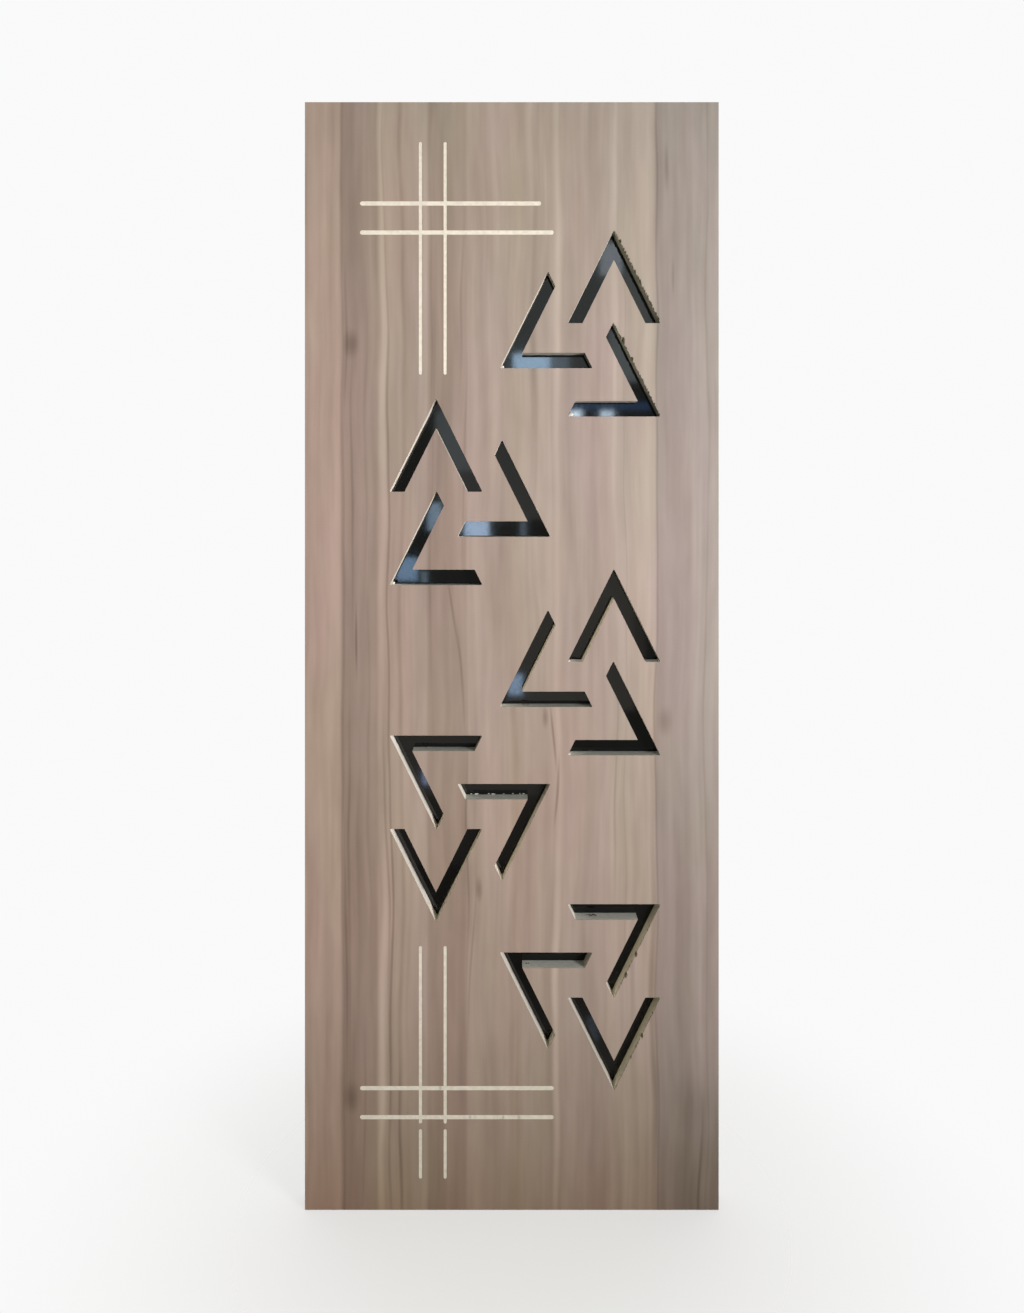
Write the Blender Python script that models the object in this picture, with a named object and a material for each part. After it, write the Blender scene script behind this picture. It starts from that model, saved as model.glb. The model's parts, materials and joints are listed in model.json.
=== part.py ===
"""A flush door leaf with black chevron plates sunk into its front and fine grooved lines.

The leaf stands upright, in metres with +Z up, and its front faces -Y. The origin is at the middle of
the hinge edge, so X runs from minus the leaf's width, at the lock edge, to zero.
"""

import math

import bmesh
import bpy
from mathutils import Matrix, Vector

# Leaf
LEAF_WIDTH = 0.762
LEAF_HEIGHT = 2.040
LEAF_THICKNESS = 0.045
LAMINATE = 0.001  # sheet on each face
LIPPING = 0.010  # strip along each edge of the board, under the sheets
GLUE_LINE = 0.0003  # between two pieces that are fixed together

# One chevron: two limbs along two sides of a triangle
CHEVRON_WIDTH = 0.171
CHEVRON_HEIGHT = 0.172
LIMB_WIDTH = 0.0276  # slanted limb, measured level
BAR_WIDTH = 0.0285  # level limb
CORNER_RADIUS = 0.0015  # left by the round cutter
CORNER_STEPS = 3
RECESS_DEPTH = 0.030  # from the leaf's front to the black plate
PLATE_THICKNESS = 0.003

# Clusters of three chevrons, up the leaf in two columns; columns are measured from the centre line
ROWS = 5
LEFT_COLUMN = -0.1396
RIGHT_COLUMN = 0.1882
SIDE_STEP = 0.125  # from the column to the side chevron's middle
SIDE_DROP = 0.083  # from the cluster's middle line to the side chevron's base
SIDE_OVERRUN = 0.007  # rise of the side chevron's slanted limb past its triangle
FOOT_OVERRUN = 0.002
CLUSTER_MARGIN = 0.227  # from the outermost tips to the ends of the leaf
PATTERN_DROP = 0.008  # the whole pattern sits a little low
MIDDLE_DROP = 0.003  # and its middle cluster a little lower

# Grooved lines: two uprights crossed by two level ones, near each end of the leaf
GROOVE_DEPTH = 0.002
UPRIGHT_GROOVE = 0.006
LEVEL_GROOVE = 0.008
GROOVE_END_STEPS = 8
UPRIGHT_SHIFT = -0.0057  # the pair's middle, from the left column
UPRIGHT_SPACING = 0.0455
UPRIGHT_MARGIN = 0.0651  # from the uprights' outer ends to the end of the leaf
UPRIGHT_CLEARANCE = 0.0435  # from their inner ends to the nearest tip
LEVEL_MARGIN = 0.2053  # from the pair's middle to the end of the leaf
LEVEL_SPACING = 0.0535
LEVEL_START = -0.2796
LEVEL_LENGTH = 0.3573
TOP_SHORTFALL = 0.0231  # the uppermost level line stops short
SKIP_DROP = 0.012  # where the lower uprights break off, below the lowest level line
SKIP_LENGTH = 0.010

front = -LEAF_THICKNESS / 2
back = LEAF_THICKNESS / 2
skin = LAMINATE + GLUE_LINE
margin = LIPPING + GLUE_LINE
middle_x = -LEAF_WIDTH / 2
row_pitch = (LEAF_HEIGHT / 2 - CLUSTER_MARGIN - CHEVRON_HEIGHT) / ((ROWS - 1) / 2)
facing_front = Matrix(((1, 0, 0, 0), (0, 0, -1, 0), (0, 1, 0, 0), (0, 0, 0, 1)))  # stands XY up as XZ


def new_collection(name):
    collection = bpy.data.collections.new(name)
    bpy.context.scene.collection.children.link(collection)
    return collection


def new_material(name, colour, roughness, metallic=0.0):
    material = bpy.data.materials.new(name)
    material.use_nodes = True
    shader = material.node_tree.nodes["Principled BSDF"]
    shader.inputs["Base Color"].default_value = (*colour, 1)
    shader.inputs["Roughness"].default_value = roughness
    shader.inputs["Metallic"].default_value = metallic
    material.diffuse_color = (*colour, 1)
    return material


def box(name, low, high, collection, material):
    """A box between two corners, with its scale applied."""
    low, high = Vector(low), Vector(high)
    bpy.ops.mesh.primitive_cube_add(size=1, location=(low + high) / 2)
    obj = bpy.context.object
    obj.name = obj.data.name = name
    obj.data.transform(Matrix.Diagonal((*(high - low), 1)))
    for old in obj.users_collection:
        old.objects.unlink(obj)
    collection.objects.link(obj)
    obj.data.materials.append(material)
    return obj


def prism(name, outline, near, far, collection, material=None):
    """A flat outline in X and Z, made solid from y = near to y = far."""
    curve = bpy.data.curves.new(name, "CURVE")
    curve.dimensions = "2D"
    curve.fill_mode = "BOTH"
    curve.extrude = (far - near) / 2
    spline = curve.splines.new("POLY")
    spline.points.add(len(outline) - 1)
    for point, (x, z) in zip(spline.points, outline):
        point.co = (x, z, 0, 1)
    spline.use_cyclic_u = True
    guide = bpy.data.objects.new(name, curve)
    collection.objects.link(guide)
    mesh = bpy.data.meshes.new_from_object(guide.evaluated_get(bpy.context.evaluated_depsgraph_get()))
    bpy.data.objects.remove(guide)
    bpy.data.curves.remove(curve)
    welded = bmesh.new()
    welded.from_mesh(mesh)
    bmesh.ops.remove_doubles(welded, verts=welded.verts, dist=1e-5)
    bmesh.ops.recalc_face_normals(welded, faces=welded.faces)
    welded.to_mesh(mesh)
    welded.free()
    mesh.transform(facing_front)
    obj = bpy.data.objects.new(name, mesh)
    obj.location.y = (near + far) / 2
    collection.objects.link(obj)
    if material:
        mesh.materials.append(material)
    return obj


def peak_outline():
    """A chevron with its corner at the top; its base is z = 0, and x = 0 is its middle."""
    half = CHEVRON_WIDTH / 2
    notch = CHEVRON_HEIGHT * (1 - LIMB_WIDTH / half)
    return [
        (0, CHEVRON_HEIGHT),
        (-half, 0),
        (LIMB_WIDTH - half, 0),
        (0, notch),
        (half - LIMB_WIDTH, 0),
        (half, 0),
    ]


def corner_outline(overrun):
    """A chevron with its corner at the lower left: a bar, and a slanted limb that overruns the triangle."""
    half = CHEVRON_WIDTH / 2
    lean = half / CHEVRON_HEIGHT
    tip = CHEVRON_HEIGHT + overrun
    shoulder = tip - LIMB_WIDTH / (2 * lean)
    return [
        (-half, 0),
        (half, 0),
        (half - lean * BAR_WIDTH, BAR_WIDTH),
        (LIMB_WIDTH - half + lean * BAR_WIDTH, BAR_WIDTH),
        (LIMB_WIDTH - half + lean * shoulder, shoulder),
        (lean * tip - half, tip),
    ]


def placed(outline, x, z, across=1, up=1):
    """The outline mirrored by the signs across and up, moved to (x, z), running anticlockwise."""
    points = [Vector((across * px + x, up * pz + z)) for px, pz in outline]
    return points if across * up > 0 else points[::-1]


def corners(points):
    """Each point with the directions of the sides before and after it."""
    for before, here, after in zip(points[-1:] + points[:-1], points, points[1:] + points[:1]):
        yield here, (here - before).normalized(), (after - here).normalized()


def left_of(direction):
    return Vector((-direction.y, direction.x))


def shrunk(points, distance):
    """An anticlockwise outline with every side moved inwards."""
    moved = []
    for here, into, out in corners(points):
        both = left_of(into) + left_of(out)
        moved.append(here + both * distance / (1 + into.dot(out)))
    return moved


def rounded(points, radius):
    """An anticlockwise outline with an arc for each corner that points outwards."""
    smooth = []
    for here, into, out in corners(points):
        turn = math.atan2(into.cross(out), into.dot(out))
        if turn <= 0:
            smooth.append(here)
            continue
        start = here - into * radius * math.tan(turn / 2)
        centre = start + left_of(into) * radius
        for step in range(CORNER_STEPS + 1):
            spoke = Matrix.Rotation(turn * step / CORNER_STEPS, 2) @ (start - centre)
            smooth.append(centre + spoke)
    return smooth


def groove_outline(start, end, width):
    """A straight line of one width with a half round at each end; start and end are its extremes."""
    start, end = Vector(start), Vector(end)
    along = (end - start).normalized()
    across = left_of(along)
    radius = width / 2
    points = []
    for centre, way in ((start + along * radius, -1), (end - along * radius, 1)):
        for step in range(GROOVE_END_STEPS + 1):
            angle = math.pi * step / GROOVE_END_STEPS
            points.append(centre + way * radius * (math.sin(angle) * along - math.cos(angle) * across))
    return points


def row_height(row):
    """The middle line of a cluster; the top row is 0."""
    from_middle = (ROWS - 1) / 2 - row
    drop = MIDDLE_DROP if from_middle == 0 else 0
    return from_middle * row_pitch - PATTERN_DROP - drop


def cluster_outlines(row):
    """The three sharp outlines of one row's cluster, by name."""
    in_right = row % 2 == 0
    column = middle_x + (RIGHT_COLUMN if in_right else LEFT_COLUMN)
    inwards = -1 if in_right else 1
    up = -1 if row > (ROWS - 1) / 2 else 1
    z = row_height(row)
    side_x = column + inwards * SIDE_STEP
    return {
        "peak": placed(peak_outline(), column, z, up=up),
        "side": placed(corner_outline(SIDE_OVERRUN), side_x, z - up * SIDE_DROP, -inwards, up),
        "foot": placed(corner_outline(FOOT_OVERRUN), column, z - up * CHEVRON_HEIGHT, inwards, up),
    }


def crossing(end):
    """The middle of the two uprights and two level lines at one end of the leaf; end is 1 at the top."""
    x = middle_x + LEFT_COLUMN + UPRIGHT_SHIFT
    z = end * (LEAF_HEIGHT / 2 - LEVEL_MARGIN) - PATTERN_DROP
    return x, z


def groove_lines():
    """Start, end and width of every grooved line."""
    lines = []
    nearest_tip = row_pitch * ((ROWS - 1) / 2 - 1) + CHEVRON_HEIGHT
    level_x = middle_x + LEVEL_START
    for end in (1, -1):
        outer = end * (LEAF_HEIGHT / 2 - UPRIGHT_MARGIN) - PATTERN_DROP
        inner = end * (nearest_tip + UPRIGHT_CLEARANCE) - PATTERN_DROP
        upright_x, level_z = crossing(end)
        for side in (-1, 1):
            x = upright_x + side * UPRIGHT_SPACING / 2
            if end > 0:
                lines.append(((x, outer), (x, inner), UPRIGHT_GROOVE))
            else:
                skip = level_z - LEVEL_SPACING / 2 - SKIP_DROP
                lines.append(((x, inner), (x, skip), UPRIGHT_GROOVE))
                lines.append(((x, skip - SKIP_LENGTH), (x, outer), UPRIGHT_GROOVE))
            z = level_z + side * LEVEL_SPACING / 2
            shortfall = TOP_SHORTFALL if end > 0 and side > 0 else 0
            lines.append(((level_x, z), (level_x + LEVEL_LENGTH - shortfall, z), LEVEL_GROOVE))
    return lines


def cut_by(obj, cutters):
    cut = obj.modifiers.new(cutters.name, "BOOLEAN")
    cut.operation = "DIFFERENCE"
    cut.solver = "EXACT"
    cut.operand_type = "COLLECTION"
    cut.collection = cutters


def make_squares(leaf, windows, sheet):
    """The square of sheet that four crossing grooves leave on its own, and the window it leaves in the sheet."""
    for name, end in (("top", 1), ("bottom", -1)):
        x, z = crossing(end)
        for target, half_x, half_z in (
            (windows, UPRIGHT_SPACING / 2, LEVEL_SPACING / 2),
            (leaf, (UPRIGHT_SPACING - UPRIGHT_GROOVE) / 2, (LEVEL_SPACING - LEVEL_GROOVE) / 2),
        ):
            spare = LAMINATE if target is windows else 0
            box(
                f"window_{name}" if target is windows else f"laminate_square_{name}",
                (x - half_x, front - spare, z - half_z),
                (x + half_x, front + LAMINATE + spare, z + half_z),
                target,
                sheet,
            )


def make_leaf(leaf, cutters, windows):
    """The board, its edge strips and the two sheets."""
    board_white = new_material("ivory_board", (0.76, 0.70, 0.56), 0.6)
    wood_sheet = new_material("wood_grain_laminate", (0.38, 0.30, 0.25), 0.45)
    strip_wood = new_material("edge_wood", (0.30, 0.21, 0.15), 0.55)
    half_height = LEAF_HEIGHT / 2
    board_front, board_back = front + skin, back - skin
    core = box(
        "door_core",
        (margin - LEAF_WIDTH, board_front, margin - half_height),
        (-margin, board_back, half_height - margin),
        leaf,
        board_white,
    )
    face = box(
        "face_laminate",
        (-LEAF_WIDTH, front, -half_height),
        (0, front + LAMINATE, half_height),
        leaf,
        wood_sheet,
    )
    box(
        "back_laminate",
        (-LEAF_WIDTH, back - LAMINATE, -half_height),
        (0, back, half_height),
        leaf,
        wood_sheet,
    )
    strips = {
        "lipping_hinge_side": ((-LIPPING, -half_height), (0, half_height)),
        "lipping_lock_side": ((-LEAF_WIDTH, -half_height), (LIPPING - LEAF_WIDTH, half_height)),
        "lipping_top": ((margin - LEAF_WIDTH, half_height - LIPPING), (-margin, half_height)),
        "lipping_bottom": ((margin - LEAF_WIDTH, -half_height), (-margin, LIPPING - half_height)),
    }
    for name, ((x0, z0), (x1, z1)) in strips.items():
        box(name, (x0, board_front, z0), (x1, board_back, z1), leaf, strip_wood)
    make_squares(leaf, windows, wood_sheet)
    cut_by(core, cutters)
    cut_by(face, windows)
    cut_by(face, cutters)


def make_chevrons(leaf, cutters):
    """A cutter for each recess, and the black plate on its floor."""
    black_gloss = new_material("black_gloss_acrylic", (0.006, 0.007, 0.008), 0.06)
    plate_front = front + RECESS_DEPTH
    plate_back = plate_front + PLATE_THICKNESS
    for row in range(ROWS):
        for place, outline in cluster_outlines(row).items():
            name = f"row{row + 1}_{place}"
            recess = rounded(outline, CORNER_RADIUS)
            plate = rounded(shrunk(outline, GLUE_LINE), CORNER_RADIUS - GLUE_LINE)
            prism(f"recess_{name}", recess, front - LAMINATE, plate_back + GLUE_LINE, cutters)
            prism(f"inlay_{name}", plate, plate_front, plate_back, leaf, black_gloss)


def make_grooves(cutters):
    for number, (start, end, width) in enumerate(groove_lines(), 1):
        outline = groove_outline(start, end, width)
        prism(f"groove_{number}", outline, front - LAMINATE, front + GROOVE_DEPTH, cutters)


def main():
    for old in list(bpy.data.objects):
        bpy.data.objects.remove(old)
    leaf = new_collection("door_leaf")
    cutters = new_collection("recesses_and_grooves")
    windows = new_collection("square_windows")
    make_chevrons(leaf, cutters)
    make_grooves(cutters)
    make_leaf(leaf, cutters, windows)
    for cutter in (*cutters.objects, *windows.objects):
        cutter.hide_render = True
        cutter.display_type = "WIRE"


main()
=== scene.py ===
import json
import random
from math import pi, radians

import bpy
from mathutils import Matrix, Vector

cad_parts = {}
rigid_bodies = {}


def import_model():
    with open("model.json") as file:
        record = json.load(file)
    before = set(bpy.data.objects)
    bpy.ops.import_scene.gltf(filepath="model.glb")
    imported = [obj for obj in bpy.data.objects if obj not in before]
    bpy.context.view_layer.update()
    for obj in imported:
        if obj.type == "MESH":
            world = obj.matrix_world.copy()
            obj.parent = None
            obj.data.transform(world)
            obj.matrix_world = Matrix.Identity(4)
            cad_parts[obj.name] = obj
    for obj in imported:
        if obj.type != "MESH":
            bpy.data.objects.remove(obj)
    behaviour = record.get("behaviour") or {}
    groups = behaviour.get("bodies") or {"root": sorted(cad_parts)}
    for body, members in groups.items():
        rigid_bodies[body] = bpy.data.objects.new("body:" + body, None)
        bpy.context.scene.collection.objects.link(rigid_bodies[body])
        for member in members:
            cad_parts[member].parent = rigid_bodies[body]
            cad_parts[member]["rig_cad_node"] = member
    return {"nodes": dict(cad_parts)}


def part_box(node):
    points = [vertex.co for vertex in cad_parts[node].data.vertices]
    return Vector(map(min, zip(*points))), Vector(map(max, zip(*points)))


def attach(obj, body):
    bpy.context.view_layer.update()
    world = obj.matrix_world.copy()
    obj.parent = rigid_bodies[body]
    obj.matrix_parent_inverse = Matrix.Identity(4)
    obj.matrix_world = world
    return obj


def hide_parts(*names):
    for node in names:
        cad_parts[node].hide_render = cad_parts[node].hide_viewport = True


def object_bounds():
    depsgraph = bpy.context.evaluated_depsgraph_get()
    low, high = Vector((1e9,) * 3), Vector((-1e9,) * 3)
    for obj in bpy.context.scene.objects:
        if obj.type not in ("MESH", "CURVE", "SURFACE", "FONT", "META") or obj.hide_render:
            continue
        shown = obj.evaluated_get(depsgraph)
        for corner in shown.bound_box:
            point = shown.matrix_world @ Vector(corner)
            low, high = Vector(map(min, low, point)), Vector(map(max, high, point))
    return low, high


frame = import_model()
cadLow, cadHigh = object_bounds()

nodes = frame["nodes"]
leafWidth = round((cadHigh.x - cadLow.x) * 1000)  # millimetres, lock edge to hinge edge
halfHeight = round(cadHigh.z * 1000)  # millimetres, from mid height to the head
print("frame loaded,", len(nodes), "nodes")


# general helpers; a Mix node of colours has them at its sockets 6 and 7, and gives its result at output 2

def linear(hexColour):  # an sRGB hex colour, turned to the linear one that shaders take
    channels = [int(hexColour[i:i + 2], 16) / 255 for i in (1, 3, 5)]
    return [c / 12.92 if c <= 0.04045 else ((c + 0.055) / 1.055) ** 2.4 for c in channels] + [1.0]


def addNode(tree, kind, sockets=None, **settings):  # a node with its settings, and its sockets linked or set
    node = tree.nodes.new("ShaderNode" + kind)
    for name, value in settings.items():
        setattr(node, name, value)
    for socket, value in (sockets or {}).items():
        if isinstance(value, bpy.types.Node):
            value = value.outputs[0]
        if isinstance(value, bpy.types.NodeSocket):
            tree.links.new(value, node.inputs[socket])
        else:
            node.inputs[socket].default_value = value
    return node


def newMaterial(name):  # an empty material and its node tree, with the shader joined to the output
    material = bpy.data.materials.new(name)
    material.use_nodes = True
    tree = material.node_tree
    tree.nodes.clear()
    shader = addNode(tree, "BsdfPrincipled")
    addNode(tree, "OutputMaterial", {"Surface": shader})
    return material, tree, shader


def finish(piece, material):  # one material, one slot of the record, riding on the leaf
    piece.data.materials.clear()
    piece.data.materials.append(material)
    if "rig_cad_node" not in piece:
        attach(piece, "root")


# camera: level, square to the leaf and 1.85 m in front of it, a little above its middle

view = {
    "frameHeight": 2.418,  # metres of the leaf's plane that the picture takes in
    "middle": (-0.3806, -0.0009),  # X and Z that the middle of the picture looks at
    "distance": 1.85,  # metres from the camera to the face of the leaf
    "shift": -0.12,  # of the frame height; it keeps the leaf upright with the camera above its middle
}
cameraData = bpy.data.cameras.new("camera")
cameraData.lens = cameraData.sensor_width * view["distance"] / view["frameHeight"]
cameraData.shift_y = view["shift"]
camera = bpy.data.objects.new("camera", cameraData)
camera.location = (
    view["middle"][0],
    cadLow.y - view["distance"],
    view["middle"][1] - view["shift"] * view["frameHeight"],
)
camera.rotation_euler = (radians(90), 0, 0)
bpy.context.scene.collection.objects.link(camera)
bpy.context.scene.camera = camera
bpy.context.scene.view_settings.view_transform = "Standard"
print("camera placed, lens", round(cameraData.lens, 2))


# studio: pale room light and one soft key lamp from the right

studio = {
    "roomFront": ("#eff2e6", 0.27),  # colour and strength of the side that the leaf faces
    "roomBelow": ("#f2e8da", 0.15),  # low down on that side
    "roomBack": ("#fdfdfd", 0.97),  # the side behind the leaf
    "sideFade": (-0.35, 0.45),  # where front turns to back, in the Y of a direction
    "lowFade": (0.1, -0.5),  # where the front turns to its low part, in the Z of a direction
    "keyPlace": (1.4, -2.2, 0.15),
    "keyAim": (-1.72, 0.0, 0.60),  # past the lock edge, so that the light thins out evenly to head and foot
    "keySize": 0.8,
    "keyPower": 33,
    "keySpread": 92,
    "keyColour": "#fffaf4",
}


def addRoomLight():
    world = bpy.data.worlds.new("studio room")
    bpy.context.scene.world = world
    world.use_nodes = True
    tree = world.node_tree
    tree.nodes.clear()
    place = addNode(tree, "TexCoord").outputs["Generated"]
    axes = addNode(tree, "SeparateXYZ", {0: place})
    fades = []
    for axis, (start, end) in (("Y", studio["sideFade"]), ("Z", studio["lowFade"])):
        fades.append(addNode(
            tree, "MapRange", {"Value": axes.outputs[axis], "From Min": start, "From Max": end},
            interpolation_type="SMOOTHSTEP",
        ))
    back, below = fades
    levels = []
    for part in ("roomFront", "roomBelow", "roomBack"):
        colour, strength = studio[part]
        levels.append([c * strength for c in linear(colour)[:3]] + [1.0])
    # the room is seen pale all round, also where it is too dim to light the leaf's front
    seen = addNode(tree, "LightPath").outputs["Is Camera Ray"]
    back = addNode(tree, "Math", {0: back, 1: seen}, operation="MAXIMUM")
    front = addNode(tree, "Mix", {0: below, 6: levels[0], 7: levels[1]}, data_type="RGBA")
    mixed = addNode(tree, "Mix", {0: back, 6: front.outputs[2], 7: levels[2]}, data_type="RGBA")
    light = addNode(tree, "Background", {"Color": mixed.outputs[2], "Strength": 1.0})
    addNode(tree, "OutputWorld", {"Surface": light})


def addLamp(name, place, aim, size, power, colour, spread=180, mirrorOnly=False):
    data = bpy.data.lights.new(name, "AREA")
    data.shape = "RECTANGLE"
    data.size, data.size_y = size
    data.energy = power
    data.spread = radians(spread)
    data.color = linear(colour)[:3]
    lamp = bpy.data.objects.new(name, data)
    lamp.location = place
    lamp.rotation_euler = (Vector(aim) - Vector(place)).to_track_quat("-Z", "Y").to_euler()
    lamp.visible_camera = False
    if mirrorOnly:
        lamp.visible_diffuse = lamp.visible_transmission = False
    bpy.context.scene.collection.objects.link(lamp)


addRoomLight()
addLamp(
    "key", studio["keyPlace"], studio["keyAim"], (studio["keySize"], studio["keySize"]), studio["keyPower"],
    studio["keyColour"], studio["keySpread"],
)

# the room's windows and walls, which show only as reflections in the plates; each is given by where its reflection
# falls on the leaf, in millimetres from the lock edge and from mid height, then its width and height there, its
# colour and its radiance
reflected = {
    "behind": 1.95,  # metres in front of the leaf where they stand
    "things": [
        ("windowRight", (418, 544, 70, 34), "#a9c9e6", 15.0),
        ("windowRightDim", (472, 544, 34, 34), "#8fa6b8", 4.4),
        ("doorwayHigh", (567, 738, 42, 62), "#c3cfda", 5.0),
        ("skyBand", (569, 463, 168, 14), "#4f86c8", 2.4),
        ("ledgeA", (502, 448, 22, 14), "#cfe2f2", 26.0),
        ("ledgeB", (559, 448, 26, 14), "#c4d8ea", 20.0),
        ("windowMiddle", (316, 232, 46, 40), "#b9d2f0", 16.0),
        ("windowMiddleDim", (402, 232, 12, 40), "#a0b4c8", 4.4),
        ("windowLeftHigh", (236, 256, 26, 52), "#a6c2dc", 8.6),
        ("windowLeftLow", (184, 158, 40, 44), "#9cc0e6", 9.0),
        ("windowLeftSmall", (217, 142, 12, 24), "#a8c2d4", 5.0),
        ("curtainLeft", (272, 398, 70, 112), "#b8ccd2", 1.2),
        ("curtainRight", (594, 556, 62, 100), "#bccad0", 1.7),
        ("doorFrameHigh", (628, 664, 72, 96), "#c2cfc6", 0.9),
        ("lampMiddle", (388, -58, 26, 40), "#a8c8ec", 10.0),
        ("lampLow", (220, -232, 14, 26), "#a8bce8", 7.6),
        ("lampTiny", (470, -556, 12, 20), "#c8c8d4", 3.4),
        ("doorwayLow", (532, -702, 22, 46), "#9fb4cc", 1.6),
    ],
    "behindWalls": 2.15,  # the walls stand further back, so that they don't hide the windows
    "walls": [
        ("wallHigh", (498, 655, 300, 290), "#dde6e6", 0.78),
        ("wallLeft", (352, 366, 226, 230), "#dfe2de", 0.66),
        ("wallMiddle", (490, 32, 242, 276), "#e8dfd2", 0.60),
        ("wallRight", (622, 40, 20, 250), "#e8dfd2", 0.34),
        ("wallLow", (300, -192, 270, 150), "#ece0d2", 0.42),
        ("wallBand", (300, -330, 270, 124), "#ece0d2", 0.14),
        ("wallFoot", (560, -560, 190, 420), "#e6dccc", 0.10),
    ],
}


def addReflected(things, behind):
    eye = camera.location
    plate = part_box("inlay_row1_peak")[0].y
    near, far = plate - eye.y, plate + behind
    scale = (near + far) / near
    for name, (x, z, width, height), colour, radiance in things:
        seen = Vector((cadLow.x + x / 1000, 0, z / 1000))
        place = eye + (seen - eye) * scale
        place.y = plate - far
        size = (width / 1000 * scale, height / 1000 * scale)
        power = radiance * pi * size[0] * size[1]
        addLamp(name, place, place + Vector((0, 1, 0)), size, power, colour, mirrorOnly=True)


addReflected(reflected["things"], reflected["behind"])
addReflected(reflected["walls"], reflected["behindWalls"])

floorSettings = {
    "radius": 1.1,
    "corners": 96,
    "drop": 0.0008,  # the leaf's lower edge clears the floor by this
    "cover": 0.4,  # a pale mist of a floor
    "fade": (0.2, 1.0),  # it melts into the room between these distances from the leaf
    "colour": "#f4f3f0",
    "roughness": 0.9,
}


def addFloor():
    bpy.ops.object.select_all(action="DESELECT")
    bpy.ops.mesh.primitive_circle_add(
        vertices=floorSettings["corners"], radius=floorSettings["radius"], fill_type="NGON",
        location=((cadLow.x + cadHigh.x) / 2, 0, cadLow.z - floorSettings["drop"]),
    )
    floor = bpy.context.object
    floor.name = "floor"
    # matt painted studio floor: even and chalky, with no gloss
    material, tree, shader = newMaterial("matt floor paint")
    place = addNode(tree, "TexCoord").outputs["Object"]
    reach = addNode(tree, "VectorMath", {0: place}, operation="LENGTH").outputs["Value"]
    start, end = floorSettings["fade"]
    solid = addNode(
        tree, "MapRange",
        {"Value": reach, "From Min": start, "From Max": end, "To Min": floorSettings["cover"], "To Max": 0.0},
        interpolation_type="SMOOTHSTEP",
    )
    shader.inputs["Base Color"].default_value = linear(floorSettings["colour"])
    shader.inputs["Roughness"].default_value = floorSettings["roughness"]
    tree.links.new(solid.outputs[0], shader.inputs["Alpha"])
    floor.data.materials.append(material)


addFloor()
print("studio lit")


# wood-print laminate: melamine film over paper printed with walnut staves, so it looks like planks but is one flat
# satin sheet; numbers are millimetres from the lock edge and from mid height

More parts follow.
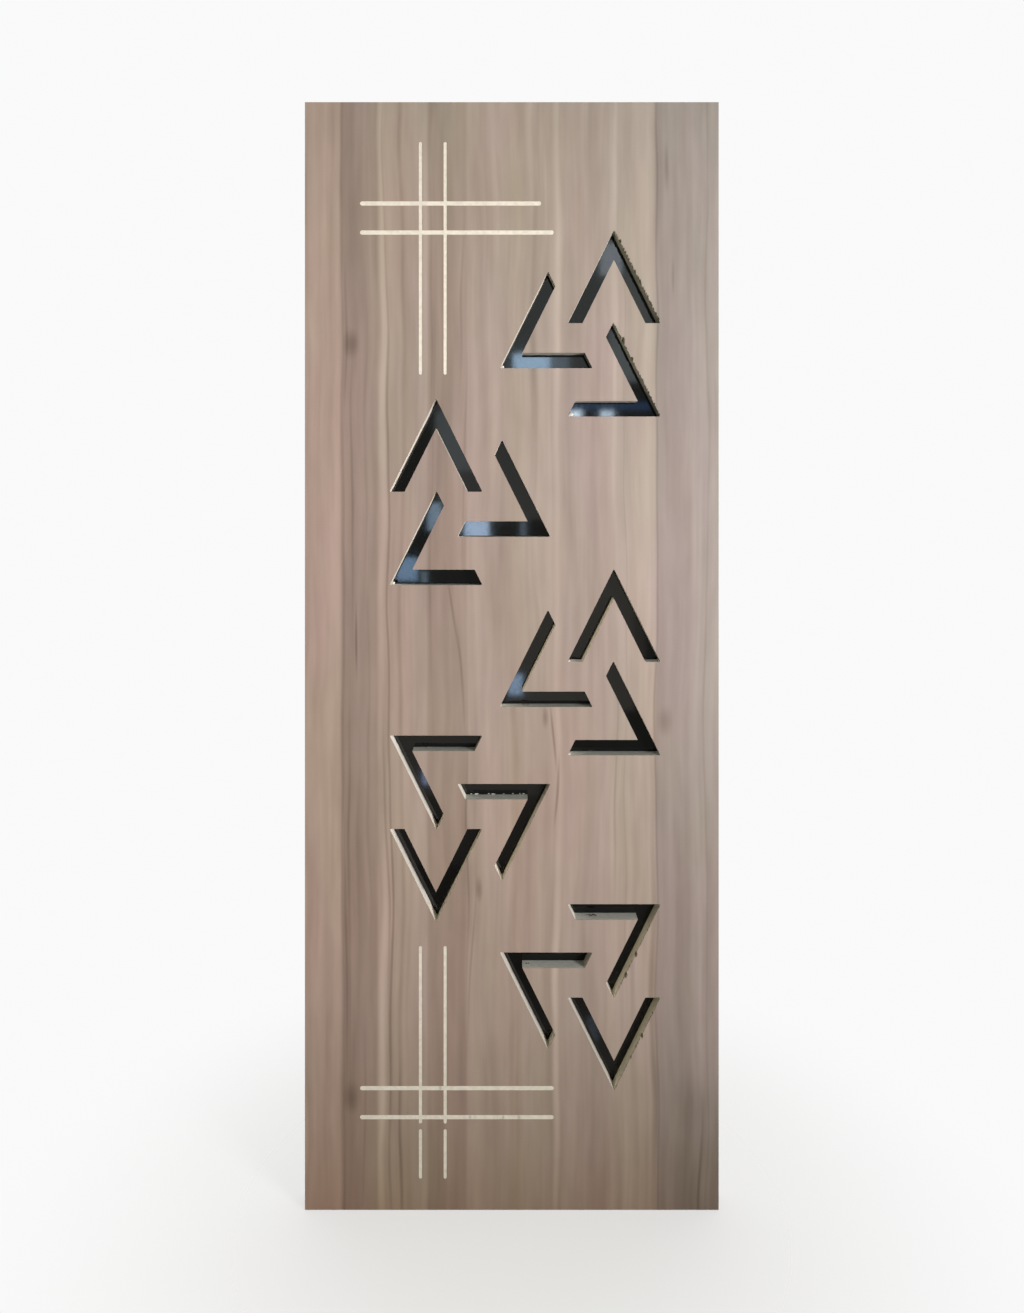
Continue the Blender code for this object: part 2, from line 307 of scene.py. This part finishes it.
laminate = {
    "tones": {
        "rosy": "#b09a8f", "heart": "#9c887f", "umber": "#9e8b81", "sand": "#aa978c", "sap": "#ab9990",
        "mauve": "#aa9891", "blond": "#af9f96", "grey": "#9f918d", "lilac": "#a69995",
    },
    "staves": [  # where each stave starts, its tone, and how softly it starts
        (0, "rosy", 2), (67, "heart", 3), (116, "umber", 6), (134, "sand", 2), (198, "sap", 4),
        (226, "umber", 1.2), (298, "sap", 2.5), (378, "sand", 6), (402, "sap", 6), (476, "mauve", 2),
        (562, "blond", 3), (646, "grey", 1.2), (712, "lilac", 5),
    ],
    "marks": [  # x, z, half width, half height, darkness (below 0 for a pale streak), lean in degrees
        (4, 0, 3.0, 2600, 0.05, 0), (70, 0, 3.4, 2600, 0.15, 0),
        (76, 590, 2.8, 130, 0.24, 0), (84, 575, 13, 24, 0.34, 0), (87, 300, 2.8, 220, 0.22, 0),
        (95, 29, 2.4, 62, 0.36, 0), (84, -812, 13, 26, 0.30, 0), (99, -420, 4, 300, 0.12, 0.5),
        (112, 420, 3, 260, 0.11, 0), (118, -150, 3, 330, 0.12, 0), (80, -520, 3, 260, 0.14, 0),
        (110, -860, 3, 150, 0.15, 0), (143, 640, 7, 560, -0.24, 0), (143, -690, 7, 400, -0.28, 0),
        (153, 200, 2.6, 900, 0.27, -0.5), (158, -700, 2.8, 400, 0.26, 0), (178, 0, 4.2, 2600, 0.14, 0),
        (176, -900, 3, 160, 0.21, 0), (231, 700, 3, 300, 0.15, 0), (236, 260, 2.4, 400, 0.12, 0),
        (258, -900, 6, 200, -0.10, 0), (287, 640, 2.6, 160, 0.18, 2.4), (294, 350, 2, 200, 0.18, 0),
        (272, 84, 2.4, 80, 0.24, -7), (286, -40, 2.6, 90, 0.24, -4), (297, -330, 2.4, 260, 0.24, 0),
        (304, -560, 2.4, 160, 0.18, 3), (317, -430, 6, 20, 0.28, 0), (385, -100, 8, 420, 0.15, 0),
        (424, 620, 7, 360, 0.15, 0), (445, 840, 3, 90, -0.13, 0), (457, -146, 2.4, 60, 0.36, -4),
        (462, -250, 2.4, 60, 0.36, 4), (443, -113, 6, 18, 0.28, 0), (466, 640, 6.5, 520, -0.26, 0),
        (466, -680, 6.5, 420, -0.32, 0), (466, 0, 7, 400, -0.10, 0), (572, 560, 5, 520, -0.12, 0),
        (590, 100, 1.6, 900, 0.10, 0), (603, -640, 6, 360, 0.12, 0), (606, -740, 30, 260, -0.10, 0),
        (640, -700, 6, 380, 0.30, 0), (648, 0, 2.2, 2600, 0.19, 0), (664, 900, 4, 40, 0.24, 0),
        (676, 700, 3, 34, 0.21, 0), (669, -120, 13, 24, 0.25, 0), (705, -820, 40, 46, 0.12, 0),
        (740, 0, 2.2, 2600, 0.10, 0), (726, -200, 5, 700, -0.09, 0), (728, -980, 3, 150, 0.24, 0),
        (735, -960, 70, 170, 0.22, 0), (75, -560, 2.6, 260, 0.28, 0), (83, -280, 3, 220, 0.20, 0),
        (150, -380, 2.4, 260, 0.20, -1), (574, 930, 5, 130, -0.10, 0), (573, -250, 2.4, 220, 0.16, 0),
    ],
    "markEdge": (0.1, 1.5),  # a mark fades out between these multiples of its half width and half height
    "wander": [(130, 360, 26), (48, 190, 4)],  # width and length of each sway, and how far it carries the figure
    "jointWander": 0.12,  # the stave joints sway this much of that
    "streaks": [  # width, length, contrast
        (34, 640, 0.50), (14, 330, 0.27), (17, 80, 0.17), (6, 150, 0.08), (2.2, 70, 0.04),
    ],
    "streakGrain": (1.5, 0.55),  # detail and roughness of each streak's noise
    "height": [  # how the print's ink and a painted shade change from foot to head: darker and browner towards the foot, partly the ink and partly painted shade where the light falls off
        (-1020, (0.83, 0.77, 0.67)), (-860, (0.93, 0.915, 0.87)), (-640, (1.06, 1.05, 1.05)),
        (-380, (1.01, 1.0, 0.99)), (60, (0.935, 0.935, 0.95)), (440, (0.90, 0.91, 0.93)),
        (780, (0.95, 0.99, 0.985)), (1020, (0.97, 1.05, 1.04)),
    ],
    "casts": [  # width and length of a cloud of ink, and the two tints between which it turns
        (120, 420, (1.02, 0.99, 0.99), (0.98, 1.005, 0.975)),
        (60, 260, (1.0, 0.995, 1.015), (1.0, 1.003, 0.985)),
    ],
    "castRange": (0.35, 0.65),
    "browning": (1.1, 1.2),  # how much more the green and the blue drop where the wood is darker
    "core": ("#766c56", 0.7),  # the brown paper inside, and how much of it shows on a cut
    "cutFacing": (0.95, 0.6),  # a face turned this far from the front counts as cut
    "roughness": 0.42,
    "ior": 1.5,
    "pore": (0.9, 12),  # real pores are 0.2 mm wide, drawn coarser so that they show
    "poreRelief": (0.35, 0.00004),  # strength, and depth in metres
}


def woodLaminate(name, marks):
    material, tree, shader = newMaterial(name)
    place = addNode(tree, "TexCoord").outputs["Object"]
    millimetres = addNode(tree, "Mapping", {"Vector": place, "Location": (leafWidth, 0, 0), "Scale": (1000, 0, 1000)})
    axes = addNode(tree, "SeparateXYZ", {0: millimetres})

    # the figure sways sideways along its length
    sway = 0.0
    for width, length, reach in laminate["wander"]:
        spread = addNode(tree, "Mapping", {"Vector": millimetres, "Scale": (1 / width, 0, 1 / length)})
        swell = addNode(tree, "TexNoise", {"Vector": spread, "Scale": 1.0, "Detail": 1.0})
        shift = addNode(tree, "MapRange", {"Value": swell, "To Min": -reach / 2, "To Max": reach / 2})
        sway = addNode(tree, "Math", {0: sway, 1: shift}, operation="ADD")
    figureX = addNode(tree, "Math", {0: axes.outputs["X"], 1: sway}, operation="ADD")
    figure = addNode(tree, "CombineXYZ", {"X": figureX, "Z": axes.outputs["Z"]})
    jointX = addNode(
        tree, "Math", {0: sway, 1: laminate["jointWander"], 2: axes.outputs["X"]}, operation="MULTIPLY_ADD",
    )

    # tone of each stave
    along = addNode(tree, "Math", {0: jointX, 1: leafWidth}, operation="DIVIDE")
    ramp = addNode(tree, "ValToRGB", {0: along})
    stops = ramp.color_ramp.elements
    stops.remove(stops[1])
    staves = laminate["staves"]
    stops[0].color = linear(laminate["tones"][staves[0][1]])
    for (start, tone, soft), (_, lastTone, _) in zip(staves[1:], staves):
        for x, colour in ((start - soft, lastTone), (start + soft, tone)):
            stops.new(x / leafWidth).color = linear(laminate["tones"][colour])

    # streaks of growth, from broad to fine, then the marks, all as one factor on the tone
    level = 1.0
    detail, rough = laminate["streakGrain"]
    for i, (width, length, contrast) in enumerate(laminate["streaks"]):
        elsewhere = (7.7 * i, 3.1 * i, 0)  # each size of streak reads its own part of the noise
        spread = addNode(
            tree, "Mapping", {"Vector": figure, "Location": elsewhere, "Scale": (1 / width, 0, 1 / length)},
        )
        streak = addNode(tree, "TexNoise", {"Vector": spread, "Scale": 1.0, "Detail": detail, "Roughness": rough})
        shade = addNode(tree, "MapRange", {"Value": streak, "To Min": -contrast / 2, "To Max": contrast / 2})
        level = addNode(tree, "Math", {0: level, 1: shade}, operation="ADD")
    near, far = laminate["markEdge"]
    for x, z, halfX, halfZ, dark, lean in marks:
        turned = (0, radians(lean), 0)
        spot = addNode(
            tree, "Mapping",
            {"Vector": figure, "Location": (x, 0, z), "Rotation": turned, "Scale": (halfX, 1, halfZ)},
            vector_type="TEXTURE",
        )
        reach = addNode(tree, "VectorMath", {0: spot}, operation="LENGTH").outputs["Value"]
        shade = addNode(
            tree, "MapRange", {"Value": reach, "From Min": near, "From Max": far, "To Min": dark, "To Max": 0.0},
            interpolation_type="SMOOTHSTEP",
        )
        level = addNode(tree, "Math", {0: level, 1: shade}, operation="SUBTRACT")
    # darker wood is browner too
    green = addNode(tree, "Math", {0: level, 1: laminate["browning"][0]}, operation="POWER")
    blue = addNode(tree, "Math", {0: level, 1: laminate["browning"][1]}, operation="POWER")
    depth = addNode(tree, "CombineXYZ", {"X": level, "Y": green, "Z": blue})
    colour = addNode(tree, "VectorMath", {0: ramp, 1: depth}, operation="MULTIPLY")

    # the ink's casts: rosier and more olive over hand-wide areas; then, by height, browner and darker towards the
    # foot, partly the ink and partly painted shade
    near, far = laminate["castRange"]
    for i, (width, length, one, other) in enumerate(laminate["casts"]):
        elsewhere = (5 + i, 0, 9 * i)
        spread = addNode(
            tree, "Mapping", {"Vector": millimetres, "Location": elsewhere, "Scale": (1 / width, 0, 1 / length)},
        )
        cloud = addNode(tree, "TexNoise", {"Vector": spread, "Scale": 1.0, "Detail": 1.0})
        amount = addNode(tree, "MapRange", {"Value": cloud, "From Min": near, "From Max": far})
        cast = addNode(tree, "Mix", {0: amount, 6: (*one, 1), 7: (*other, 1)}, data_type="RGBA")
        colour = addNode(tree, "VectorMath", {0: colour, 1: cast.outputs[2]}, operation="MULTIPLY")
    # by height: partly the print's ink, partly painted shade, darkest at the foot where the light falls off
    rise = addNode(
        tree, "MapRange", {"Value": axes.outputs["Z"], "From Min": -halfHeight, "From Max": halfHeight},
    )
    heightInkAndShade = addNode(tree, "ValToRGB", {0: rise})
    stops = heightInkAndShade.color_ramp.elements
    stops[1].position = 1.0
    stops[1].color = (*laminate["height"][-1][1], 1)
    stops[0].color = (*laminate["height"][0][1], 1)
    for z, tint in laminate["height"][1:-1]:
        stops.new((z + halfHeight) / (2 * halfHeight)).color = (*tint, 1)
    colour = addNode(tree, "VectorMath", {0: colour, 1: heightInkAndShade}, operation="MULTIPLY")

    # where it is cut through or torn, its brown paper core shows
    facing = addNode(tree, "SeparateXYZ", {0: addNode(tree, "NewGeometry").outputs["True Normal"]})
    flat = addNode(tree, "Math", {0: facing.outputs["Y"]}, operation="ABSOLUTE")
    paper, strength = laminate["core"]
    near, far = laminate["cutFacing"]
    cut = addNode(
        tree, "MapRange", {"Value": flat, "From Min": near, "From Max": far, "To Min": 0.0, "To Max": strength},
    )
    colour = addNode(tree, "Mix", {0: cut, 6: colour, 7: linear(paper)}, data_type="RGBA")
    tree.links.new(colour.outputs[2], shader.inputs["Base Color"])

    width, length = laminate["pore"]
    spread = addNode(tree, "Mapping", {"Vector": millimetres, "Scale": (1 / width, 0, 1 / length)})
    pores = addNode(tree, "TexNoise", {"Vector": spread, "Scale": 1.0, "Detail": 2.0})
    strength, depth = laminate["poreRelief"]
    bump = addNode(tree, "Bump", {"Height": pores, "Strength": strength, "Distance": depth})
    tree.links.new(bump.outputs[0], shader.inputs["Normal"])
    shader.inputs["Roughness"].default_value = laminate["roughness"]
    shader.inputs["IOR"].default_value = laminate["ior"]
    return material


faceWood = woodLaminate("walnut print melamine laminate", laminate["marks"])
backMarks = laminate["marks"][::6]  # the hidden side gets few of the marks
backWood = woodLaminate("walnut print melamine laminate, plain side", backMarks)
for name in ("laminate_square_top", "laminate_square_bottom"):
    finish(nodes[name], faceWood)
finish(nodes["back_laminate"], backWood)
print("laminate done")


# board: ivory wood-plastic foam board, routed; the sides of its recesses are coloured by the way they face, as
# painted light and shade: the sides that face right are painted lit, the ledges are painted in grey shade, and the
# sides that face left are painted in olive shade, darker where they look down

board = {
    "ivory": "#f2ebde",  # in the pale lines
    "cut": "#e6e4dd",  # the sides of the recesses that look neither left nor right
    "paintedLit": "#fdf8f1",  # right-facing, painted lighter as lit
    # the ledges that look up, painted grey-green as shade
    "paintedLedgeShade": "#d9dbd6",
    "paintedShadeUp": "#f0e6cc",  # left-facing and looking up: painted olive shade, pale
    "paintedShadeDown": "#9c9c8c",  # left-facing and looking down: painted dark olive shade
    "torn": "#8f8a70",  # inside the chips: painted dark shade
    "lineZone": (-20.45, -20.2),  # millimetres along Y where the clean ivory of the lines ends
    "turned": {  # which part of a face's normal tells its kind, and between which values it comes to count
        "right": ("X", 0.2, 0.7), "left": ("X", -0.1, -0.5), "up": ("Z", 0.8, 0.95), "rising": ("Z", -0.3, 0.3),
        "sloping": ("Y", -0.04, -0.12), "notFlat": ("Y", -0.995, -0.97),
    },
    "blotch": (0.12, 0.35, 0.7, 0.86),  # scale per millimetre, the range of noise it takes, and how dim it gets
    "smudges": [  # x, z, half width and half height
        (304, -849.8, 3, 5), (365, -849.8, 2.4, 5), (394, -849.8, 3.4, 5), (249, -794.6, 3, 5), (214, -862, 2, 3),
    ],
    "smudgeEdge": (0.5, 1.2),  # multiples of the half width and half height
    "smudgeDim": 0.74,
    "grit": 0.6,  # millimetres
    "gritRelief": (0.5, 0.0003),  # strength, and depth in metres
    "roughness": 0.6,
    "ior": 1.46,
    "lineDepth": 2.0,  # millimetres from the face to the floor of the grooved lines, as the solids have them
    "lineFill": 1.5,  # how far the ivory stands up in them, nearly flush as in the photo
}


def ivoryBoardWithPaintedShade():
    material, tree, shader = newMaterial("ivory wood plastic foam board")
    place = addNode(tree, "TexCoord").outputs["Object"]
    millimetres = addNode(tree, "Mapping", {"Vector": place, "Scale": (1000, 1000, 1000)})
    depth = addNode(tree, "SeparateXYZ", {0: millimetres}).outputs["Y"]
    start, end = board["lineZone"]
    deep = addNode(tree, "MapRange", {"Value": depth, "From Min": start, "From Max": end})
    facing = addNode(tree, "SeparateXYZ", {0: addNode(tree, "NewGeometry").outputs["True Normal"]})
    turned = {}
    for kind, (axis, start, end) in board["turned"].items():
        turned[kind] = addNode(tree, "MapRange", {"Value": facing.outputs[axis], "From Min": start, "From Max": end})
    # the routed sides and floors are square to the face, so a slanting bit is the inside of a chip
    broken = addNode(tree, "Math", {0: turned["sloping"], 1: turned["notFlat"]}, operation="MULTIPLY")
    paintedShadeLeft = addNode(
        tree, "Mix", {0: turned["rising"], 6: linear(board["paintedShadeDown"]), 7: linear(board["paintedShadeUp"])},
        data_type="RGBA",
    ).outputs[2]
    tone = linear(board["cut"])
    # painted light and shade by facing: lit on right-facing sides, grey shade on ledges, olive shade on left-facing
    # sides and dark shade inside the chips
    for amount, other in (
        (turned["right"], linear(board["paintedLit"])), (turned["left"], paintedShadeLeft),
        (turned["up"], linear(board["paintedLedgeShade"])), (broken, linear(board["torn"])),
    ):
        tone = addNode(tree, "Mix", {0: amount, 6: tone, 7: other}, data_type="RGBA").outputs[2]
    tone = addNode(tree, "Mix", {0: deep, 6: linear(board["ivory"]), 7: tone}, data_type="RGBA").outputs[2]

    # blotches all over, and smudges in the lines
    scale, start, end, least = board["blotch"]
    blotch = addNode(tree, "TexNoise", {"Vector": millimetres, "Scale": scale, "Detail": 3.0})
    dim = addNode(
        tree, "MapRange", {"Value": blotch, "From Min": start, "From Max": end, "To Min": 1.0, "To Max": least},
    )
    start, end = board["smudgeEdge"]
    for x, z, halfX, halfZ in board["smudges"]:
        place = (x - leafWidth, 0, z)
        spot = addNode(
            tree, "Mapping", {"Vector": millimetres, "Location": place, "Scale": (halfX, 1000, halfZ)},
            vector_type="TEXTURE",
        )
        reach = addNode(tree, "VectorMath", {0: spot}, operation="LENGTH").outputs["Value"]
        rubbed = addNode(
            tree, "MapRange",
            {"Value": reach, "From Min": start, "From Max": end, "To Min": board["smudgeDim"], "To Max": 1.0},
        )
        dim = addNode(tree, "Math", {0: dim, 1: rubbed}, operation="MULTIPLY")
    toned = addNode(tree, "VectorMath", {0: tone, 1: dim}, operation="MULTIPLY")
    tree.links.new(toned.outputs[0], shader.inputs["Base Color"])
    grit = addNode(tree, "TexNoise", {"Vector": millimetres, "Scale": 1 / board["grit"], "Detail": 2.0})
    strength, relief = board["gritRelief"]
    bump = addNode(tree, "Bump", {"Height": grit, "Strength": strength, "Distance": relief})
    tree.links.new(bump.outputs[0], shader.inputs["Normal"])
    shader.inputs["Roughness"].default_value = board["roughness"]
    shader.inputs["IOR"].default_value = board["ior"]
    return material


# rims: the router tore the laminate and the board's lip along the right-hand sides of the recesses, so the board and
# the front laminate are replaced by copies with those chips cut out

rims = {
    "torn": [  # both ends of a rim in millimetres, how many chips, and their largest radius
        ((571, 781), (653, 617), 38, 3.0), ((570, 610), (653, 445), 32, 2.4), ((571, 156), (652, -6), 16, 1.4),
        ((570, -14), (652, -178), 16, 1.3), ((652, -461), (570, -627), 32, 2.2), ((652, -633), (571, -796), 28, 2.2),
        ((243, 470), (325, 306), 12, 1.2), ((325, -321), (243, -486), 12, 1.2), ((364, 394), (450, 223), 12, 1.2),
        ((450, -239), (364, -410), 14, 1.4), ((488, 441), (650, 441), 6, 0.8), ((300, -264), (408, -264), 8, 0.9),
        ((499, -485.5), (611, -485.5), 7, 0.9), ((402, -574.5), (512, -574.5), 7, 0.9),
    ],
    "broken": [  # single larger chips: x, z and radius
        (580, 764, 3.8), (603, 717, 2.4), (617, 690, 3.0), (631, 662, 2.8), (586, 580, 4.6), (602, 547, 3.8),
        (622, 507, 2.4), (609, -549, 4.0), (590, -587, 4.4), (634, -498, 2.4), (620, -699, 3.6), (600, -739, 2.4),
        (640, -658, 2.0),
    ],
    "spacing": (0.1, 0.9),  # where in its stretch of the rim a chip may fall
    "radii": (0.45, 1.0),  # of the largest radius
    "width": (0.7, 1.1),  # the size of a chip each way, as a multiple of its radius
    "depth": 2.2,
    "height": (1.1, 2.0),
    "ragged": 0.45,  # millimetres that its corners stray
}


def startLumps(name):  # an empty mesh, open in edit mode, for lumps to be added to
    bpy.ops.object.select_all(action="DESELECT")
    bpy.ops.mesh.primitive_ico_sphere_add(subdivisions=1, radius=0.0001, location=(0, 0, 0))
    piece = bpy.context.object
    piece.name = name
    bpy.ops.object.mode_set(mode="EDIT")
    bpy.ops.mesh.select_all(action="SELECT")
    bpy.ops.mesh.delete(type="VERT")
    return piece


def addLump(place, subdivisions, scale, ragged, turned=(0, 0, 0)):  # scale is its radius each way, in millimetres
    bpy.ops.mesh.select_all(action="DESELECT")
    bpy.ops.mesh.primitive_ico_sphere_add(
        subdivisions=subdivisions, radius=0.001, location=place, rotation=turned,
    )
    bpy.ops.transform.resize(value=scale, center_override=place)
    bpy.ops.transform.vertex_random(offset=ragged, seed=random.randrange(999))


def chipCutter():
    random.seed(4)
    spots = list(rims["broken"])
    for (startX, startZ), (endX, endZ), count, largest in rims["torn"]:
        for i in range(count):
            t = (i + random.uniform(*rims["spacing"])) / count
            radius = largest * random.uniform(*rims["radii"])
            spots.append((startX + (endX - startX) * t, startZ + (endZ - startZ) * t, radius))
    cutter = startLumps("chips")
    for x, z, radius in spots:
        turned = [random.uniform(0, 3) for _ in range(3)]
        width, height = random.uniform(*rims["width"]), random.uniform(*rims["height"])
        scale = (radius * width, radius * rims["depth"], radius * height)
        addLump((cadLow.x + x / 1000, cadLow.y, z / 1000), 1, scale, rims["ragged"] / 1000, turned)
    bpy.ops.object.mode_set(mode="OBJECT")
    return cutter


def chipped(name, source, cutter, fill=0.0):  # fill is how far the floors of the lines are raised, in millimetres
    piece = bpy.data.objects.new(name, nodes[source].data.copy())
    bpy.context.scene.collection.objects.link(piece)
    bpy.ops.object.select_all(action="DESELECT")
    piece.select_set(True)
    bpy.context.view_layer.objects.active = piece
    bpy.ops.object.mode_set(mode="EDIT")
    bpy.ops.mesh.select_all(action="SELECT")
    bpy.ops.mesh.remove_doubles(threshold=1e-6)
    bpy.ops.mesh.select_mode(type="VERT")
    bpy.ops.mesh.select_all(action="DESELECT")
    bpy.ops.object.mode_set(mode="OBJECT")
    if fill:  # nothing else of the board lies at the depth of the lines' floors
        lineFloor = cadLow.y + board["lineDepth"] / 1000
        for point in piece.data.vertices:
            point.select = abs(point.co.y - lineFloor) < 1e-5
        bpy.ops.object.mode_set(mode="EDIT")
        bpy.ops.transform.translate(value=(0, -fill / 1000, 0))
        bpy.ops.object.mode_set(mode="OBJECT")
    cut = piece.modifiers.new("chips", "BOOLEAN")
    cut.operation = "DIFFERENCE"
    cut.solver = "EXACT"
    cut.use_self = True
    cut.object = cutter
    bpy.ops.object.modifier_apply(modifier=cut.name)
    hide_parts(source)
    return piece


chips = chipCutter()
wornBoard = chipped("chipped_board", "door_core", chips, board["lineFill"])
finish(wornBoard, ivoryBoardWithPaintedShade())
wornFace = chipped("chipped_laminate", "face_laminate", chips)
finish(wornFace, faceWood)
bpy.data.objects.remove(chips)
print("rims done,", len(wornBoard.data.polygons), "and", len(wornFace.data.polygons), "faces")


# crumbs: white glue squeezed out along a plate's edge, pale lumps in sharp corners that stand in for glints there as
# a painted highlight, and brown router dust on the ledges

crumbs = {
    "glue": [  # x, z, and radius in millimetres, at the front of a plate
        (305, -262.3, 1.5), (314, -262.6, 2.1), (317, -262.3, 1.3), (338, -262.0, 1.7), (345, -262.3, 2.2),
        (349, -262.6, 1.3), (366, -262.4, 1.2), (383, -262.0, 1.5), (396, -262.3, 1.2), (403, -262.0, 1.9),
    ],
    "glueStandsOff": 0.3,  # millimetres from the plate to the middle of a bead
    "corners": [  # x and z of a sharp lower corner of a recess, reach into it, and radius of the pale lump there, a painted highlight
        (360, 530, 5, 2.7), (485, 441, 5, 3.8), (157, 130.5, 6, 3.2), (485, -11, 4, 1.5), (485, -183, 4, 1.6),
    ],
    "cornerLean": 1.62,  # radii from the tip to the middle of a lump that touches both sides of the corner
    "cornerSecond": 0.45,  # radius of the smaller lump that fills the tip, as a part of the first one's
    "dust": [  # x, z, reach into the recess and radius
        (402, -90.8, 14, 2.2), (406, -91.2, 15, 1.8), (411, -91.0, 13, 1.6), (527, -177.4, 15, 1.7),
        (531, -177.6, 16, 1.3), (525, -481.4, 12, 2.2), (528, -481.8, 10, 2.6), (532, -481.6, 13, 3.0),
        (536, -481.7, 11, 2.4), (408, -570.2, 9, 1.5), (412, -570.6, 11, 1.3), (214, -171.0, 17, 1.6),
        (222, -171.3, 16, 1.9), (229, -171.2, 18, 1.4),
    ],
    "width": (0.9, 1.5),  # the size of a lump each way, as a multiple of its radius
    "depth": (0.7, 1.1),
    "height": (0.35, 0.6),
    "cornerHeight": (0.85, 1.0),
    "ragged": 0.12,  # how far its corners stray, as a part of its radius
    "glueFinish": ("#f2efe6", 0.45, 1.47, 1.5),  # colour, roughness, IOR, and grain in millimetres
    "dustFinish": ("#5a4a3c", 0.9, 1.45, 0.6),
    "grainShade": (0.3, 0.7, 0.7, 1.05),  # the range of noise it takes, and how dark and how pale it gets
}


def addCrumbs(name, spots, height="height"):  # irregular little lumps, joined as one piece
    piece = startLumps(name)
    for place, size in spots:
        scale = [size * random.uniform(*crumbs[way]) for way in ("width", "depth", height)]
        addLump(place, 2, scale, crumbs["ragged"] * size / 1000)
    bpy.ops.mesh.select_all(action="SELECT")
    bpy.ops.mesh.faces_shade_smooth()
    bpy.ops.object.mode_set(mode="OBJECT")
    return piece


def crumbMaterial(name, finishOf):
    colour, roughness, ior, grit = crumbs[finishOf]
    start, end, dark, pale = crumbs["grainShade"]
    material, tree, shader = newMaterial(name)
    place = addNode(tree, "TexCoord").outputs["Object"]
    grain = addNode(tree, "TexNoise", {"Vector": place, "Scale": 1000 / grit, "Detail": 3.0})
    shade = addNode(
        tree, "MapRange", {"Value": grain, "From Min": start, "From Max": end, "To Min": dark, "To Max": pale},
    )
    toned = addNode(tree, "VectorMath", {0: linear(colour)[:3], 1: shade}, operation="MULTIPLY")
    tree.links.new(toned.outputs[0], shader.inputs["Base Color"])
    shader.inputs["Roughness"].default_value = roughness
    shader.inputs["IOR"].default_value = ior
    return material


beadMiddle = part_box("inlay_row1_peak")[0].y - crumbs["glueStandsOff"] / 1000
glue = addCrumbs(
    "glue_beads",
    [((cadLow.x + x / 1000, beadMiddle, z / 1000), size) for x, z, size in crumbs["glue"]],
)
# dried white wood glue, slightly shiny
driedGlue = crumbMaterial("dried white wood glue", "glueFinish")
finish(glue, driedGlue)
dust = addCrumbs(
    "router_dust",
    [((cadLow.x + x / 1000, cadLow.y + reach / 1000, z / 1000), size) for x, z, reach, size in crumbs["dust"]],
)
# walnut-brown paper and board dust, matt and gritty
finish(dust, crumbMaterial("brown router dust", "dustFinish"))
# pale lumps in the sharp lower corners, in the glue's material: a painted highlight where the corners glint
glintLumps = []
for x, z, reach, radius in crumbs["corners"]:
    for size in (radius, radius * crumbs["cornerSecond"]):
        along = x + crumbs["cornerLean"] * size
        glintLumps.append(((cadLow.x + along / 1000, cadLow.y + reach / 1000, (z + size) / 1000), size))
cornerGlintLumps = addCrumbs("corner_glint_lumps", glintLumps, "cornerHeight")
finish(cornerGlintLumps, driedGlue)
print("crumbs done")


# edge strips: solid walnut, oiled, with its grain along the strip

edgeWood = {
    "light": "#a58b74",
    "dark": "#7f6551",
    "grain": (2.4, 2.4, 160),  # millimetres across and along
    "toneRange": (0.33, 0.68),
    "relief": (0.3, 0.0001),  # strength, and depth in metres
    "roughness": 0.5,
}


def solidWalnut(name, along):
    material, tree, shader = newMaterial(name)
    place = addNode(tree, "TexCoord").outputs["Object"]
    width, depth, length = edgeWood["grain"]
    size = {"z": (width, depth, length), "x": (length, depth, width)}[along]
    scaled = addNode(tree, "Mapping", {"Vector": place, "Scale": tuple(1000 / s for s in size)})
    grain = addNode(tree, "TexNoise", {"Vector": scaled, "Scale": 1.0, "Detail": 4.0, "Roughness": 0.6})
    ramp = addNode(tree, "ValToRGB", {0: grain})
    for stop, position, tone in zip(ramp.color_ramp.elements, edgeWood["toneRange"], ("dark", "light")):
        stop.position = position
        stop.color = linear(edgeWood[tone])
    tree.links.new(ramp.outputs[0], shader.inputs["Base Color"])
    strength, relief = edgeWood["relief"]
    bump = addNode(tree, "Bump", {"Height": grain, "Strength": strength, "Distance": relief})
    tree.links.new(bump.outputs[0], shader.inputs["Normal"])
    shader.inputs["Roughness"].default_value = edgeWood["roughness"]
    return material


uprightWalnut = solidWalnut("oiled walnut edge strip, upright", "z")
levelWalnut = solidWalnut("oiled walnut edge strip, level", "x")
for name, material in (
    ("lipping_hinge_side", uprightWalnut), ("lipping_lock_side", uprightWalnut),
    ("lipping_top", levelWalnut), ("lipping_bottom", levelWalnut),
):
    finish(nodes[name], material)
print("edge strips done")


# plates: cast black acrylic, polished, which bows a little between its glue spots, so its reflections swim

plates = {
    "black": "#08090a",
    "roughness": 0.045,
    "haze": (180.0, 0.4, 0.8, 0.03),  # fine dust: scale per metre, the range of noise it takes, roughness it adds
    "bow": (90, 0.00004),  # millimetres from wave to wave, and metres of depth
    "ior": 1.49,
}


def blackAcrylic():
    material, tree, shader = newMaterial("polished black cast acrylic")
    place = addNode(tree, "TexCoord").outputs["Object"]
    length, depth = plates["bow"]
    scaled = addNode(tree, "Mapping", {"Vector": place, "Scale": (1000 / length,) * 3})
    bow = addNode(tree, "TexNoise", {"Vector": scaled, "Scale": 1.0, "Detail": 0.0})
    bump = addNode(tree, "Bump", {"Height": bow, "Strength": 1.0, "Distance": depth})
    scale, start, end, more = plates["haze"]
    film = addNode(tree, "TexNoise", {"Vector": place, "Scale": scale, "Detail": 3.0})
    haze = addNode(
        tree, "MapRange",
        {"Value": film, "From Min": start, "From Max": end,
         "To Min": plates["roughness"], "To Max": plates["roughness"] + more},
    )
    tree.links.new(haze.outputs[0], shader.inputs["Roughness"])
    tree.links.new(bump.outputs[0], shader.inputs["Normal"])
    shader.inputs["Base Color"].default_value = linear(plates["black"])
    shader.inputs["IOR"].default_value = plates["ior"]
    return material


acrylic = blackAcrylic()
for name in nodes:
    if name.startswith("inlay_"):
        finish(nodes[name], acrylic)
print("plates done")
